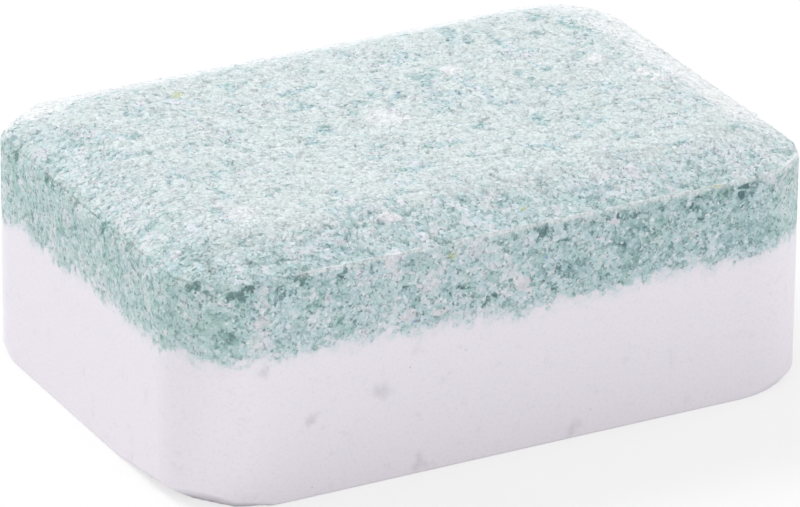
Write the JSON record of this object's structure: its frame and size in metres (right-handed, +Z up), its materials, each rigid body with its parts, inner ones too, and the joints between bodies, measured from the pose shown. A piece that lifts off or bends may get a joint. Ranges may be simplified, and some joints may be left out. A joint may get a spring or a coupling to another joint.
{
  "type": "two-layer descaling tablet",
  "caption": "Rectangular pressed descaling tablet with rounded corners: a green speckled layer with a bevelled top, bonded to a white base layer.",
  "frame": {"origin": "middle of the flat face that the tablet rests on, in the middle of its bounding box", "axes": "+Z up through the bevelled top; X along the tablet's length; Y across it, with the burred long edge on the -Y side"},
  "size_m": [0.038, 0.0266, 0.0143],
  "materials": {
    "green_granulate": "pressed coarse granulate of teal, aqua and white grains, matt and dusty, with small pits",
    "white_powder": "pressed fine powder, matt, off-white with faint grey mottles"
  },
  "bodies": {
    "root": {"green_layer": "green_granulate", "white_layer": "white_powder"}
  },
  "joints": []
}
